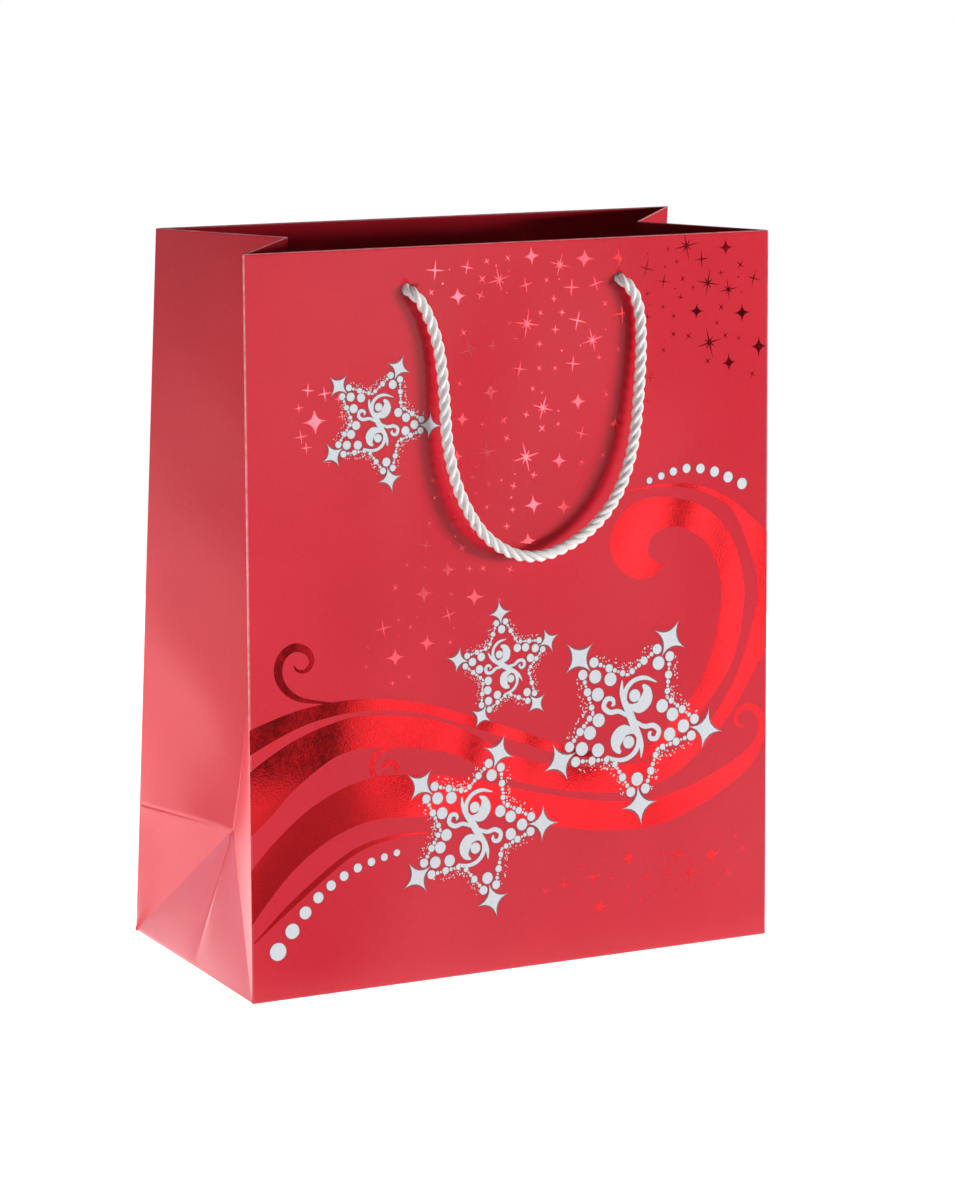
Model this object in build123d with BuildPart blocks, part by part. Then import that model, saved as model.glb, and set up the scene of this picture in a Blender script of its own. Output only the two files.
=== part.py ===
"""A paper gift bag: one creased and glued sheet, a loose base board and two knotted rope handles.

Millimetres, +Z up, origin at the middle of the base, on the surface that the bag stands on.
The width runs along X and the front panel faces -Y.
"""
import os
from math import atan, cos, pi, radians, sin, sqrt, tan

from build123d import *

# ---------------------------------------------------------------- driving dimensions
width = 260.0               # across the front panel
depth = 120.0               # front to back at the base
height = 320.0
mouth_depth = 86.0          # front to back at the top edge, where the gussets pull the panels in
mouth_shift = 5.0           # the middle of the mouth stands this far behind the middle of the base

sheet = 0.35                # laminated card
hem_height = 38.0           # turned-in band round the mouth
flap_overlap = 24.0         # the front and back bottom flaps lap over each other
side_flap_length = 72.0     # left and right bottom flaps, from the side inwards
seam_width = 18.0           # glue lap that closes the sheet into a tube

strip_thickness = 1.0       # cardboard strip between panel and hem
strip_height = 32.0
board_thickness = 1.5       # loose cardboard base board
board_clearance = 2.5       # all round, so that it can be dropped in
board_corner = 3.0

rope_diameter = 5.0
hole_clearance = 0.15       # round the rope
hole_spacing = 105.0
hole_drop = 18.0            # hole centre below the top edge
swing_standoff = 4.0        # the rope turns about a line this far outside the panel
swing_gap = 0.3             # between the still stretch in the hole and the swinging loop
knot_diameter = 13.0
knot_length = 9.0
knot_round = 3.5
tail_length = 19.0
tail_tilt = 24.0            # degrees between the knot's tail and the panel

fit = 0.3                   # gap where a piece stops short of its neighbour
glue = 0.05                 # glue line under a gusset's turned-in hem

# The loops hang from the holes. Each point is (along the panel, up the panel, out of the panel),
# measured from the point midway between the holes.
front_route = [
    (-hole_spacing / 2, 0.0, swing_standoff),
    (-44.5, -9.0, 4.5),
    (-40.0, -24.0, 5.2),
    (-38.0, -45.0, 6.2),
    (-37.5, -68.0, 7.0),
    (-31.5, -91.0, 8.0),
    (-18.0, -111.0, 9.0),
    (3.5, -120.0, 9.5),
    (28.0, -112.5, 9.0),
    (46.0, -97.0, 8.2),
    (55.5, -75.0, 7.2),
    (59.0, -50.0, 6.2),
    (61.0, -25.0, 5.0),
    (59.0, -9.5, 4.4),
    (hole_spacing / 2, 0.0, swing_standoff),
]
back_route = [
    (-hole_spacing / 2, 0.0, swing_standoff),
    (-55.5, -11.0, 4.5),
    (-56.5, -28.0, 5.2),
    (-54.0, -50.0, 6.0),
    (-50.5, -73.0, 7.0),
    (-41.5, -94.0, 7.8),
    (-26.0, -110.0, 8.6),
    (-5.0, -118.5, 9.0),
    (18.0, -115.5, 8.8),
    (36.0, -102.0, 8.2),
    (46.5, -82.0, 7.4),
    (51.0, -58.0, 6.4),
    (53.0, -33.0, 5.4),
    (55.0, -13.0, 4.5),
    (hole_spacing / 2, 0.0, swing_standoff),
]
bend_share = 0.45           # each arc of a loop takes this share of the shorter run beside it

# ---------------------------------------------------------------- worked-out geometry
junction_height = depth / 2             # where the gusset's centre crease meets the base's diagonals
front_rise = (depth - mouth_depth) / 2 + mouth_shift    # how far the front panel leans back
back_rise = (depth - mouth_depth) / 2 - mouth_shift     # how far the back panel leans forward
rope_radius = rope_diameter / 2
hole_radius = rope_radius + hole_clearance
hole_height = height - hole_drop
wall_stack = sheet + strip_thickness + sheet            # panel, strip and hem
punch_length = 6 * wall_stack                           # well past both faces of the stack
floor_stack = 3 * sheet                                 # bottom flaps under the base board


def front_y(z):
    """Outer face of the front panel at height z."""
    return -depth / 2 + front_rise * z / height


def back_y(z):
    """Outer face of the back panel at height z."""
    return depth / 2 - back_rise * z / height


def crease_y(z):
    """Centre crease of a gusset, midway between the panels."""
    return (front_y(z) + back_y(z)) / 2


def folded_inset(z):
    """How far a gusset of full depth folds inwards where the panels stand closer than that."""
    half_gap = (back_y(z) - front_y(z)) / 2
    return sqrt(max((depth / 2) ** 2 - half_gap ** 2, 0))


def inset(z):
    """The crease runs straight from the junction to the mouth, and from the base to the junction."""
    low = folded_inset(junction_height)
    if z < junction_height:
        return low * z / junction_height
    share = (z - junction_height) / (height - junction_height)
    return low + (folded_inset(height) - low) * share


mouth_slope = folded_inset(height) / (mouth_depth / 2)
gusset_wall = sheet * sqrt(1 + mouth_slope ** 2)        # the sheet's thickness, measured along X
corner_gap = gusset_wall + wall_stack * mouth_slope + fit   # a panel's lining stops this far in


def edge_point(side, half, z):
    """Where a gusset half meets the inner face of its panel: side -1 is left, half -1 is front."""
    y = front_y(z) + sheet if half < 0 else back_y(z) - sheet
    return Vector(side * width / 2, y, z)


def crease_point(side, z):
    return Vector(side * (width / 2 - inset(z)), crease_y(z), z)


def panel_plane(half):
    """On a panel's outer face, midway between the holes: local Y runs up it and local Z out of it."""
    if half < 0:
        lean = atan(front_rise / height)
        return Plane((0, front_y(hole_height), hole_height), (1, 0, 0), (0, -cos(lean), sin(lean)))
    lean = atan(back_rise / height)
    return Plane((0, back_y(hole_height), hole_height), (-1, 0, 0), (0, cos(lean), sin(lean)))


def finish(piece, name):
    piece.part.label = name
    export_step(piece.part, f"parts/{name}.step")
    print(f"{name}: {len(piece.part.solids())} solid, {piece.part.volume:.1f} mm3")


def punch(half):
    """The two rope holes, through whatever lies behind a panel's face."""
    for x in (-hole_spacing / 2, hole_spacing / 2):
        with Locations(panel_plane(half) * Location((x, 0, 0))):
            Cylinder(hole_radius, punch_length, mode=Mode.SUBTRACT)


# ---------------------------------------------------------------- the sheet: panels, hems, seam
def outline(plane, corners):
    """A closed straight-edged face on a plane, from its corners in the plane's own coordinates."""
    with BuildSketch(plane) as face:
        with BuildLine():
            Polyline(*corners, close=True)
        make_face()
    return face.sketch


def make_panel(half, name):
    outer = front_y if half < 0 else back_y
    with BuildPart() as panel:
        profile = [(outer(0), 0), (outer(height), height)]
        profile += [(outer(height) - half * sheet, height), (outer(0) - half * sheet, 0)]
        extrude(outline(Plane.YZ, profile), amount=width / 2, both=True)
        punch(half)
    finish(panel, name)


def make_strip(half, name):
    outer = front_y if half < 0 else back_y
    near, far = -half * sheet, -half * (sheet + strip_thickness)
    top, bottom = height - sheet, height - sheet - strip_height
    with BuildPart() as strip:
        profile = [(outer(bottom) + near, bottom), (outer(top) + near, top)]
        profile += [(outer(top) + far, top), (outer(bottom) + far, bottom)]
        extrude(outline(Plane.YZ, profile), amount=width / 2 - corner_gap, both=True)
        punch(half)
    finish(strip, name)


def make_hem(half, name):
    """The band turned in over the strip, with the fold that caps the strip's top edge."""
    outer = front_y if half < 0 else back_y
    near, mid, far = (-half * t for t in (sheet, sheet + strip_thickness, wall_stack))
    cap, bottom = height - sheet, height - hem_height
    with BuildPart() as hem:
        profile = [(outer(height) + near, height), (outer(height) + far, height)]
        profile += [(outer(bottom) + far, bottom), (outer(bottom) + mid, bottom)]
        profile += [(outer(cap) + mid, cap), (outer(cap) + near, cap)]
        extrude(outline(Plane.YZ, profile), amount=width / 2 - corner_gap, both=True)
        punch(half)
    finish(hem, name)


def make_seam():
    """The sheet's last strip, glued inside the back panel beside the right gusset."""
    top, bottom = height - hem_height - fit, floor_stack
    right = width / 2 - corner_gap
    with BuildPart() as seam:
        profile = [(back_y(bottom) - sheet, bottom), (back_y(top) - sheet, top)]
        profile += [(back_y(top) - 2 * sheet, top), (back_y(bottom) - 2 * sheet, bottom)]
        extrude(outline(Plane.YZ.offset(right - seam_width), profile), amount=seam_width)
    finish(seam, "side_seam_lap")


# ---------------------------------------------------------------- the sheet: gussets
def facet(corners):
    """A flat triangle of the sheet, anywhere in space."""
    first, second, third = corners
    plane = Plane(first, second - first, (second - first).cross(third - first))
    return outline(plane, [plane.to_local_coords(corner) for corner in corners])


def gusset_section(side, half, z, start=0.0, inward=0.0):
    """A gusset half cut level at height z: from some way behind its panel to the crease."""
    wall = Vector(-side * gusset_wall, 0, 0)
    shift = Vector(-side * inward, 0, 0)
    edge, crease = edge_point(side, half, z), crease_point(side, z)
    near = edge + (crease - edge) * (start / abs(crease.Y - edge.Y)) + shift
    far = crease + shift
    corners = (near, far, far + wall, near + wall)
    return outline(Plane.XY.offset(z), [(corner.X, corner.Y) for corner in corners])


def make_gusset_half(side, half, name):
    levels = (junction_height, height)
    below = (
        edge_point(side, half, 0),
        crease_point(side, junction_height),
        edge_point(side, half, junction_height),
    )
    with BuildPart() as gusset:
        loft([gusset_section(side, half, z) for z in levels], ruled=True)
        extrude(facet(below), amount=gusset_wall, dir=(-side, 0, 0))
    finish(gusset, name)


def make_gusset_foot(side, name):
    """The triangle between the base's edge and the two diagonal creases."""
    corners = (
        edge_point(side, -1, 0),
        edge_point(side, 1, 0),
        crease_point(side, junction_height),
    )
    with BuildPart() as foot:
        extrude(facet(corners), amount=gusset_wall, dir=(-side, 0, 0))
    finish(foot, name)


def make_gusset_hem(side, half, name):
    levels = (height - hem_height, height)
    start = strip_thickness + sheet + fit
    inward = gusset_wall + glue
    with BuildPart() as hem:
        loft([gusset_section(side, half, z, start, inward) for z in levels], ruled=True)
    finish(hem, name)


# ---------------------------------------------------------------- the bottom
def side_face(z):
    """Inner face of a gusset's foot at height z."""
    return width / 2 - inset(z) - gusset_wall


def make_long_flap(half, bottom, name):
    """Front or back bottom flap, cut at 45 degrees where the corners fold under."""
    top = bottom + sheet
    outer = front_y if half < 0 else back_y
    root_y = outer(top) - half * sheet
    free_y = -half * flap_overlap / 2
    root_x = side_face(top)
    free_x = root_x - abs(root_y - free_y)
    with BuildPart() as flap:
        corners = [(-root_x, root_y), (root_x, root_y), (free_x, free_y), (-free_x, free_y)]
        extrude(outline(Plane.XY.offset(bottom), corners), amount=sheet)
    finish(flap, name)


def make_side_flap(side, name):
    bottom, top = 2 * sheet, floor_stack
    root_x = side_face(top)
    free_x = root_x - side_flap_length
    half_width = min(-front_y(0), back_y(0)) - sheet - fit
    with BuildPart() as flap:
        with BuildSketch(Plane.XY.offset(bottom)):
            with Locations((side * (root_x + free_x) / 2, 0)):
                Rectangle(root_x - free_x, 2 * half_width)
        extrude(amount=top - bottom)
    finish(flap, name)


def make_board():
    with BuildPart() as board:
        with BuildSketch(Plane.XY.offset(floor_stack)):
            RectangleRounded(
                width - 2 * board_clearance, depth - 2 * board_clearance, board_corner
            )
        extrude(amount=board_thickness)
    finish(board, "base_board")


# ---------------------------------------------------------------- the rope handles
def corner_radii(points):
    """The largest arc at each corner that the two runs beside it leave room for."""
    radii = []
    for before, corner, after in zip(points, points[1:], points[2:]):
        run_in, run_out = corner - before, after - corner
        half_turn = run_in.get_angle(run_out) / 2
        shorter = min(run_in.length, run_out.length)
        radii.append(bend_share * shorter / tan(radians(half_turn)))
    return radii


def make_loop(half, route, name):
    """The hanging loop, with a round end lying along the swing line at each hole."""
    plane = panel_plane(half)
    points = [plane.from_local_coords(Vector(*point)) for point in route]
    radii = corner_radii(points)
    with BuildPart() as loop:
        with BuildLine() as path:
            FilletPolyline(*points, radius=radii)
        run = path.wire()
        with BuildSketch(Plane(run @ 0, z_dir=run % 0)):
            Circle(rope_radius)
        sweep(path=run)
        tube_volume = loop.part.volume
        with Locations(plane * Location(route[0]), plane * Location(route[-1])):
            Cylinder(rope_radius, rope_diameter, rotation=(0, 90, 0))
    expected = run.length * pi * rope_radius ** 2
    print(f"{name}: length {run.length:.1f}, tube / section x length {tube_volume / expected:.5f}")
    print(f"{name}: radii", [round(radius, 1) for radius in radii])
    finish(loop, name)


def make_knot(half, x, name):
    """An end of the rope: the stretch in the hole, the knot behind the hem and its short tail."""
    stub_out = swing_standoff - rope_radius - swing_gap
    middle = -wall_stack - knot_length / 2
    plane = panel_plane(half) * Location((x, 0, middle))
    from_middle = (Align.CENTER, Align.CENTER, Align.MIN)
    with BuildPart() as knot:
        with Locations(plane):
            Cylinder(knot_diameter / 2, knot_length)
        fillet(knot.edges().filter_by(GeomType.CIRCLE), knot_round)
        with Locations(plane):
            Cylinder(rope_radius, stub_out - middle, align=from_middle)
        with Locations(plane * Location((0, 0, 0), (90 + tail_tilt, 0, 0))):
            Cylinder(rope_radius, tail_length, align=from_middle)
    finish(knot, name)


# ---------------------------------------------------------------- the bag
os.makedirs("parts", exist_ok=True)

for half, half_name in ((-1, "front"), (1, "back")):
    make_panel(half, f"{half_name}_panel")
    make_strip(half, f"{half_name}_top_strip")
    make_hem(half, f"{half_name}_hem")
    make_knot(half, half * hole_spacing / 2, f"{half_name}_left_knot")
    make_knot(half, -half * hole_spacing / 2, f"{half_name}_right_knot")

for side, side_name in ((-1, "left"), (1, "right")):
    make_gusset_foot(side, f"{side_name}_gusset_foot")
    make_side_flap(side, f"{side_name}_bottom_flap")
    for half, half_name in ((-1, "front"), (1, "back")):
        make_gusset_half(side, half, f"{side_name}_gusset_{half_name}")
        make_gusset_hem(side, half, f"{side_name}_hem_{half_name}")

make_seam()
make_long_flap(1, 0.0, "back_bottom_flap")
make_long_flap(-1, sheet, "front_bottom_flap")
make_board()
make_loop(-1, front_route, "front_rope_loop")
make_loop(1, back_route, "back_rope_loop")

for half, half_name in ((-1, "front"), (1, "back")):
    swing = panel_plane(half).from_local_coords(Vector(0, 0, swing_standoff))
    print(f"{half_name} swing line through", swing)
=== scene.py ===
"""The looks of a paper gift bag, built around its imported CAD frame.

Metres, +Z up, the bag standing on the origin with its printed front facing -Y.
Sizes that are written in millimetres are multiplied by mm.
"""
import math
import random

import bmesh
import bpy
import numpy as np
from mathutils import Matrix, Vector


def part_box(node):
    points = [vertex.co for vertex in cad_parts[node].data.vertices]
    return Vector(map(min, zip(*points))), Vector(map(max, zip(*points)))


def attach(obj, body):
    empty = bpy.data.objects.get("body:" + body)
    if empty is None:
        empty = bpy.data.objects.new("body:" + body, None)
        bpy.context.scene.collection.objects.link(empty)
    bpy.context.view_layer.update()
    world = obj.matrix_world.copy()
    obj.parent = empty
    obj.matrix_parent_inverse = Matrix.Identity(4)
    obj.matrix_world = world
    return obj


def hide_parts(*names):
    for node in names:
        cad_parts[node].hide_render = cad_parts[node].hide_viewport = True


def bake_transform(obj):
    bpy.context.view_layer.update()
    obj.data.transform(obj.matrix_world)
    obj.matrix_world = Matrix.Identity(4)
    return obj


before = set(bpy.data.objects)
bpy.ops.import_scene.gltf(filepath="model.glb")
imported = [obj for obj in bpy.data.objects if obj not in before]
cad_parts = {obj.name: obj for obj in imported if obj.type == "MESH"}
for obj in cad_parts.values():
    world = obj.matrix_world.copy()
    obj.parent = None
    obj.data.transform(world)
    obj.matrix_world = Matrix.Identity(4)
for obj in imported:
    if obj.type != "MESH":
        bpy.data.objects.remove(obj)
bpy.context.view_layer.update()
mm = 0.001

# ---------------------------------------------------------------- sizes read from the frame
front_low, front_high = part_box("front_panel")
back_low, back_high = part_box("back_panel")
flap_low, flap_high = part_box("back_bottom_flap")
hem_low, hem_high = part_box("front_hem")

sheet = flap_high.z - flap_low.z                # thickness of the card
half_width = front_high.x
height = front_high.z
front_foot, front_top = front_low.y, front_high.y - sheet
back_foot, back_top = back_high.y, back_low.y + sheet
junction = (back_foot - front_foot) / 2         # where each gusset's creases meet
hem_bottom = hem_low.z
lined_wall = hem_high.y - front_top             # panel, strip and turned-in hem together
gusset_hem = 2 * sheet + 0.05 * mm              # a gusset and its hem, which have no strip between

hole_spacing = 105 * mm
hole_height = height - 18 * mm
hole_radius = 2.65 * mm
rope_diameter = 5 * mm


def front_y(z):
    return front_foot + (front_top - front_foot) * z / height


def back_y(z):
    return back_foot + (back_top - back_foot) * z / height


def fold_depth(z):
    """How far a gusset folds inwards at height z, so that its halves keep their full width."""
    half_gap = (back_y(z) - front_y(z)) / 2
    return math.sqrt(max(junction ** 2 - half_gap ** 2, 0))


# ---------------------------------------------------------------- material helpers
def new_material(name):
    material = bpy.data.materials.new(name)
    material.use_nodes = True
    return material, material.node_tree.nodes, material.node_tree.links


def coordinates(nodes, links, scale=(1, 1, 1), output="Object"):
    place = nodes.new("ShaderNodeTexCoord")
    mapping = nodes.new("ShaderNodeMapping")
    mapping.inputs["Scale"].default_value = scale
    links.new(place.outputs[output], mapping.inputs["Vector"])
    return mapping.outputs["Vector"]


def noise(nodes, links, vector, scale, detail=3.0):
    texture = nodes.new("ShaderNodeTexNoise")
    texture.inputs["Scale"].default_value = scale
    texture.inputs["Detail"].default_value = detail
    links.new(vector, texture.inputs["Vector"])
    return texture.outputs["Fac"]


def ramp(nodes, links, value, stops):
    node = nodes.new("ShaderNodeValToRGB")
    elements = node.color_ramp.elements
    while len(elements) < len(stops):
        elements.new(0.5)
    for element, (position, colour) in zip(elements, stops):
        element.position = position
        element.color = (*colour, 1)
    links.new(value, node.inputs["Fac"])
    return node.outputs["Color"]


def mix(nodes, links, share, first, second):
    node = nodes.new("ShaderNodeMix")
    node.data_type = "RGBA"
    for socket, value in zip((node.inputs[0], node.inputs[6], node.inputs[7]), (share, first, second)):
        if isinstance(value, bpy.types.NodeSocket):
            links.new(value, socket)
        else:
            socket.default_value = (*value, 1) if hasattr(value, "__len__") else value
    return node.outputs[2]


def bump(nodes, links, value, distance, normal=None, strength=1.0):
    node = nodes.new("ShaderNodeBump")
    node.inputs["Distance"].default_value = distance
    node.inputs["Strength"].default_value = strength
    links.new(value, node.inputs["Height"])
    if normal is not None:
        links.new(normal, node.inputs["Normal"])
    return node.outputs["Normal"]


def grey(light):
    return (light, light, light)


def map_range(nodes, links, value, start, end):
    """The value's share of the way from start to end, held between 0 and 1."""
    node = nodes.new("ShaderNodeMapRange")
    node.inputs["From Min"].default_value = start
    node.inputs["From Max"].default_value = end
    links.new(value, node.inputs["Value"])
    return node.outputs[0]


def multiply(nodes, links, one, other):
    node = nodes.new("ShaderNodeMath")
    node.operation = "MULTIPLY"
    links.new(one, node.inputs[0])
    links.new(other, node.inputs[1])
    return node.outputs[0]


def strip(nodes, links, share, low, high, stops):
    """Levels of light along a share of the way from low to high; each stop is a place and a light."""
    return ramp(nodes, links, share, [((stop - low) / (high - low), grey(light)) for stop, light in stops])


def card_material():
    """Red laminated card: satin film over a printed sheet, its folds and rim painted pale, partly real wear
    and partly a painted highlight.
    """
    material, nodes, links = new_material("printed_card")
    shader = nodes["Principled BSDF"]
    shader.inputs["Specular IOR Level"].default_value = 0.3
    shader.inputs["Coat Weight"].default_value = 0.3
    shader.inputs["Coat Roughness"].default_value = 0.16
    vector = coordinates(nodes, links)
    cloud = noise(nodes, links, vector, 14, 2)
    grain = noise(nodes, links, vector, 950, 3)
    red = ramp(nodes, links, cloud, [(0.3, (0.580, 0.010, 0.026)), (0.7, (0.640, 0.016, 0.034))])
    specks = ramp(nodes, links, grain, [(0.35, grey(0)), (0.75, grey(0.16))])
    speckled = mix(nodes, links, specks, red, (0.80, 0.05, 0.07))
    # Pale paint on folds and rim from a vertex value: partly real wear, partly a painted highlight along the
    # folds, strongest on the front left fold.
    wear_and_highlight = nodes.new("ShaderNodeAttribute")
    wear_and_highlight.attribute_name = "wear_and_highlight"
    ragged_noise = noise(nodes, links, vector, 260, 4)
    ragged = ramp(nodes, links, ragged_noise, [(0.30, grey(0.45)), (0.60, grey(1))])
    wear_and_highlight_share = multiply(nodes, links, wear_and_highlight.outputs["Fac"], ragged)
    links.new(mix(nodes, links, wear_and_highlight_share, speckled, (1.0, 0.66, 0.68)), shader.inputs["Base Color"])
    rough = ramp(nodes, links, grain, [(0.3, grey(0.36)), (0.7, grey(0.46))])
    links.new(rough, shader.inputs["Roughness"])
    broad = bump(nodes, links, noise(nodes, links, vector, 30, 2), 0.5 * mm)
    links.new(bump(nodes, links, grain, 0.018 * mm, broad), shader.inputs["Normal"])
    return material


def raw_card_material():
    """The sheet's unprinted white face, inside the bag and on its cut edges."""
    material, nodes, links = new_material("raw_card")
    shader = nodes["Principled BSDF"]
    vector = coordinates(nodes, links)
    fibres = noise(nodes, links, coordinates(nodes, links, (1, 1, 0.25)), 2200, 4)
    cloud = noise(nodes, links, vector, 35, 3)
    tint = ramp(nodes, links, cloud, [(0.3, (0.78, 0.77, 0.75)), (0.7, (0.84, 0.83, 0.81))])
    links.new(mix(nodes, links, ramp(nodes, links, fibres, [(0.55, grey(0)), (0.8, grey(0.3))]),
                  tint, (0.68, 0.67, 0.66)), shader.inputs["Base Color"])
    shader.inputs["Roughness"].default_value = 0.82
    links.new(bump(nodes, links, fibres, 0.03 * mm), shader.inputs["Normal"])
    return material


def board_material():
    """Grey-white millboard of the base and the two strips, with flecks of pulp."""
    material, nodes, links = new_material("millboard")
    shader = nodes["Principled BSDF"]
    vector = coordinates(nodes, links)
    flecks = noise(nodes, links, vector, 900, 5)
    cloud = noise(nodes, links, vector, 22, 3)
    tint = ramp(nodes, links, cloud, [(0.3, (0.60, 0.57, 0.52)), (0.7, (0.68, 0.65, 0.60))])
    links.new(mix(nodes, links, ramp(nodes, links, flecks, [(0.6, grey(0)), (0.72, grey(0.6))]),
                  tint, (0.38, 0.35, 0.31)), shader.inputs["Base Color"])
    shader.inputs["Roughness"].default_value = 0.9
    links.new(bump(nodes, links, flecks, 0.05 * mm), shader.inputs["Normal"])
    return material


def foil_material():
    """Hot-stamped red foil: a mirror over card, so it is slightly grained."""
    material, nodes, links = new_material("red_foil")
    shader = nodes["Principled BSDF"]
    shader.inputs["Metallic"].default_value = 1.0
    shader.inputs["Coat Weight"].default_value = 0.35
    shader.inputs["Coat IOR"].default_value = 1.5
    shader.inputs["Coat Roughness"].default_value = 0.08
    vector = coordinates(nodes, links)
    grain = noise(nodes, links, vector, 1100, 3)
    weave = noise(nodes, links, vector, 300, 2)
    red = ramp(nodes, links, grain, [(0.3, (0.74, 0.006, 0.012)), (0.7, (0.86, 0.012, 0.020))])
    # Painted highlight: the vertex value 'pale' turns the foil's red lighter where its sparkles are meant to
    # look lit.
    pale = nodes.new("ShaderNodeAttribute")
    pale.attribute_name = "pale"
    links.new(mix(nodes, links, pale.outputs["Fac"], red, (0.92, 0.10, 0.13)), shader.inputs["Base Color"])
    rough = ramp(nodes, links, weave, [(0.3, grey(0.035)), (0.7, grey(0.085))])
    links.new(rough, shader.inputs["Roughness"])
    broad = bump(nodes, links, noise(nodes, links, vector, 24, 1), 0.14 * mm)
    links.new(bump(nodes, links, grain, 0.010 * mm, broad), shader.inputs["Normal"])
    return material


def ink_material(name, low, high, roughness):
    """Opaque printing ink, a little uneven."""
    material, nodes, links = new_material(name)
    shader = nodes["Principled BSDF"]
    vector = coordinates(nodes, links)
    links.new(ramp(nodes, links, noise(nodes, links, vector, 700, 3), [(0.3, low), (0.7, high)]),
              shader.inputs["Base Color"])
    shader.inputs["Roughness"].default_value = roughness
    links.new(bump(nodes, links, noise(nodes, links, vector, 1500, 2), 0.01 * mm), shader.inputs["Normal"])
    return material


def rope_material():
    """White satin yarn: fine filaments along each strand, seen through the strand's UV map."""
    material, nodes, links = new_material("satin_rope")
    shader = nodes["Principled BSDF"]
    along = coordinates(nodes, links, (1, 1, 1), "UV")
    filaments = noise(nodes, links, along, 1.0, 2)
    cloud = noise(nodes, links, coordinates(nodes, links), 90, 2)
    pale = ramp(nodes, links, filaments, [(0.25, (0.66, 0.66, 0.65)), (0.55, (0.90, 0.90, 0.89))])
    links.new(mix(nodes, links, cloud, pale, (0.93, 0.92, 0.90)), shader.inputs["Base Color"])
    shader.inputs["Roughness"].default_value = 0.42
    shader.inputs["Sheen Weight"].default_value = 0.35
    shader.inputs["Sheen Roughness"].default_value = 0.4
    links.new(bump(nodes, links, filaments, 0.10 * mm, strength=0.8), shader.inputs["Normal"])
    return material


printed_card = card_material()
raw_card = raw_card_material()
millboard = board_material()
foil = foil_material()
white_ink = ink_material("white_ink", (0.66, 0.70, 0.74), (0.72, 0.76, 0.80), 0.45)
grey_ink = ink_material("grey_outline_ink", (0.20, 0.07, 0.09), (0.27, 0.10, 0.12), 0.5)
satin_rope = rope_material()


# ---------------------------------------------------------------- mesh helpers
def make_object(name, mesh, *materials, smooth_angle=40):
    piece = bpy.data.objects.new(name, mesh)
    bpy.context.scene.collection.objects.link(piece)
    for material in materials:
        mesh.materials.append(material)
    mesh.shade_smooth()
    mesh.set_sharp_from_angle(angle=math.radians(smooth_angle))
    return piece


def mesh_from(name, bm, merge=0.0):
    if merge:
        bmesh.ops.remove_doubles(bm, verts=bm.verts, dist=merge)
    bmesh.ops.recalc_face_normals(bm, faces=bm.faces)
    mesh = bpy.data.meshes.new(name)
    bm.to_mesh(mesh)
    bm.free()
    return mesh


# ---------------------------------------------------------------- the folded sheet
FOLD_BEND = 0.7 * mm            # half the length of sheet that a sharp fold bends over
NEAR_FOLD = np.array([0, 0.25, 0.5, 0.75, 1.2, 2.4]) * mm
LOWEST_PATTERN = 1 * mm         # below this the fold pattern stays as it is here
MIDDLE_COLUMNS = {"front": 52, "back": 52, "half": 12, "foot": 6}
ABOVE = ["front", "right_half_front", "right_half_back", "back", "left_half_back", "left_half_front"]
BELOW = ["front", "right_half_front", "right_foot_front", "right_foot_back", "right_half_back",
         "back", "left_half_back", "left_foot_back", "left_foot_front", "left_half_front"]


def dent(distance, width):
    return math.exp(-(distance / width) ** 2)


def front_relief(x, z):
    """How far the front panel bulges outwards at a point: the slack waves of a filled-out sheet."""
    fade = (1 - (x / half_width) ** 2) * min(1, z / (40 * mm)) * min(1, (height - z) / (60 * mm))
    waves = 0.42 * math.sin(2 * math.pi * (x / (148 * mm) + 0.68))
    waves += 0.22 * math.sin(2 * math.pi * (x / (83 * mm) - z / (210 * mm)))
    waves += 0.16 * math.sin(2 * math.pi * (z / (130 * mm) + x / (300 * mm)))
    return max(fade, 0) * waves * mm


def back_relief(x, z):
    """The back panel's slack, and the crease that the bag's bottom folds up along for storage."""
    fade = (1 - (x / half_width) ** 2) * min(1, z / (40 * mm)) * min(1, (height - z) / (60 * mm))
    waves = 0.38 * math.sin(2 * math.pi * (x / (126 * mm) + 0.4))
    waves += 0.25 * math.sin(2 * math.pi * (x / (230 * mm) + z / (170 * mm)))
    kink = 0.9 * math.exp(-abs(z - junction) / (9 * mm)) - 0.25 * dent(z - junction, 0.8 * mm)
    return (max(fade, 0) * waves + kink * min(1, (half_width - abs(x)) / (3 * mm))) * mm


def gusset_relief(share, z, back):
    """A gusset half's slack: share runs from its panel (0) to the centre crease (1)."""
    fade = math.sin(math.pi * min(max(share, 0), 1))
    waves = 0.35 * math.sin(2 * math.pi * (z / (150 * mm) + 0.3 * back))
    waves += 0.25 * math.sin(2 * math.pi * (z / (64 * mm) + share * 0.6))
    kink = 0.0
    if back:
        ragged = 1 + 0.5 * math.sin(2 * math.pi * share * 5)
        kink = (1 - share) * min(1, share * 12)
        kink *= 0.8 * math.exp(-abs(z - junction) / (7 * mm)) - 0.45 * ragged * dent(z - junction, 0.7 * mm)
    top_fade = min(1, (height - z) / (50 * mm))
    return (fade * waves * top_fade + kink) * mm


def relief(facet, share, point, z):
    if facet == "front":
        return front_relief(point[0], z)
    if facet == "back":
        return back_relief(point[0], z)
    if "foot" in facet:
        inward = share if facet in ("right_foot_front", "left_foot_back") else 1 - share
        score = 0.22 * dent((1 - inward) * (z + 1 * mm), 0.7 * mm)
        return (0.25 * math.sin(math.pi * inward) * min(1, z / (20 * mm)) - score) * mm
    outwards_first = facet in ("right_half_front", "left_half_back")
    return gusset_relief(share if outwards_first else 1 - share, z, "back" in facet)


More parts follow.
